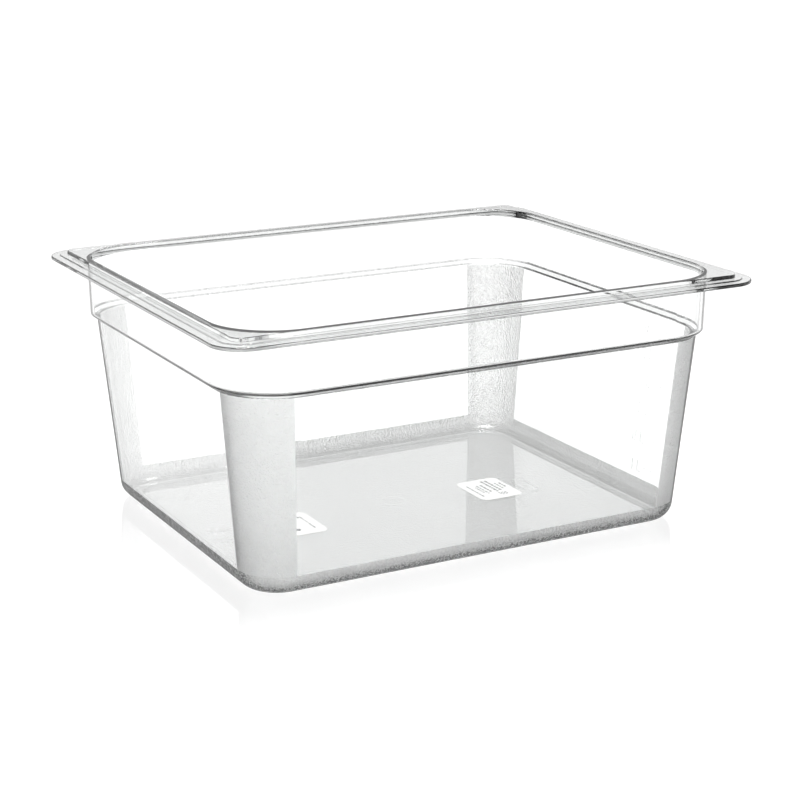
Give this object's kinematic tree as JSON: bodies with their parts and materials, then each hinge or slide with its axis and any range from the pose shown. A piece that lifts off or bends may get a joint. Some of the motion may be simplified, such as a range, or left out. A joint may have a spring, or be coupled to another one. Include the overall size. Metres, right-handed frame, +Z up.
{
  "type": "food pan",
  "caption": "Clear plastic gastronorm half-size food pan with stacking shoulder, frosted corners and litre marks, for holding food in deli counters.",
  "frame": {"origin": "middle of the pan's footprint, at the level it stands on", "axes": "+X along the long side, +Y along the short side, +Z up out of the opening"},
  "size_m": [0.325, 0.265, 0.146],
  "materials": {
    "clear_plastic": "clear, polished, with frosted corners and base",
    "label_paper": "matte white label stock with grey print"
  },
  "bodies": {
    "root": {"pan": "clear_plastic", "barcode_label": "label_paper", "care_label": "label_paper"}
  },
  "joints": []
}
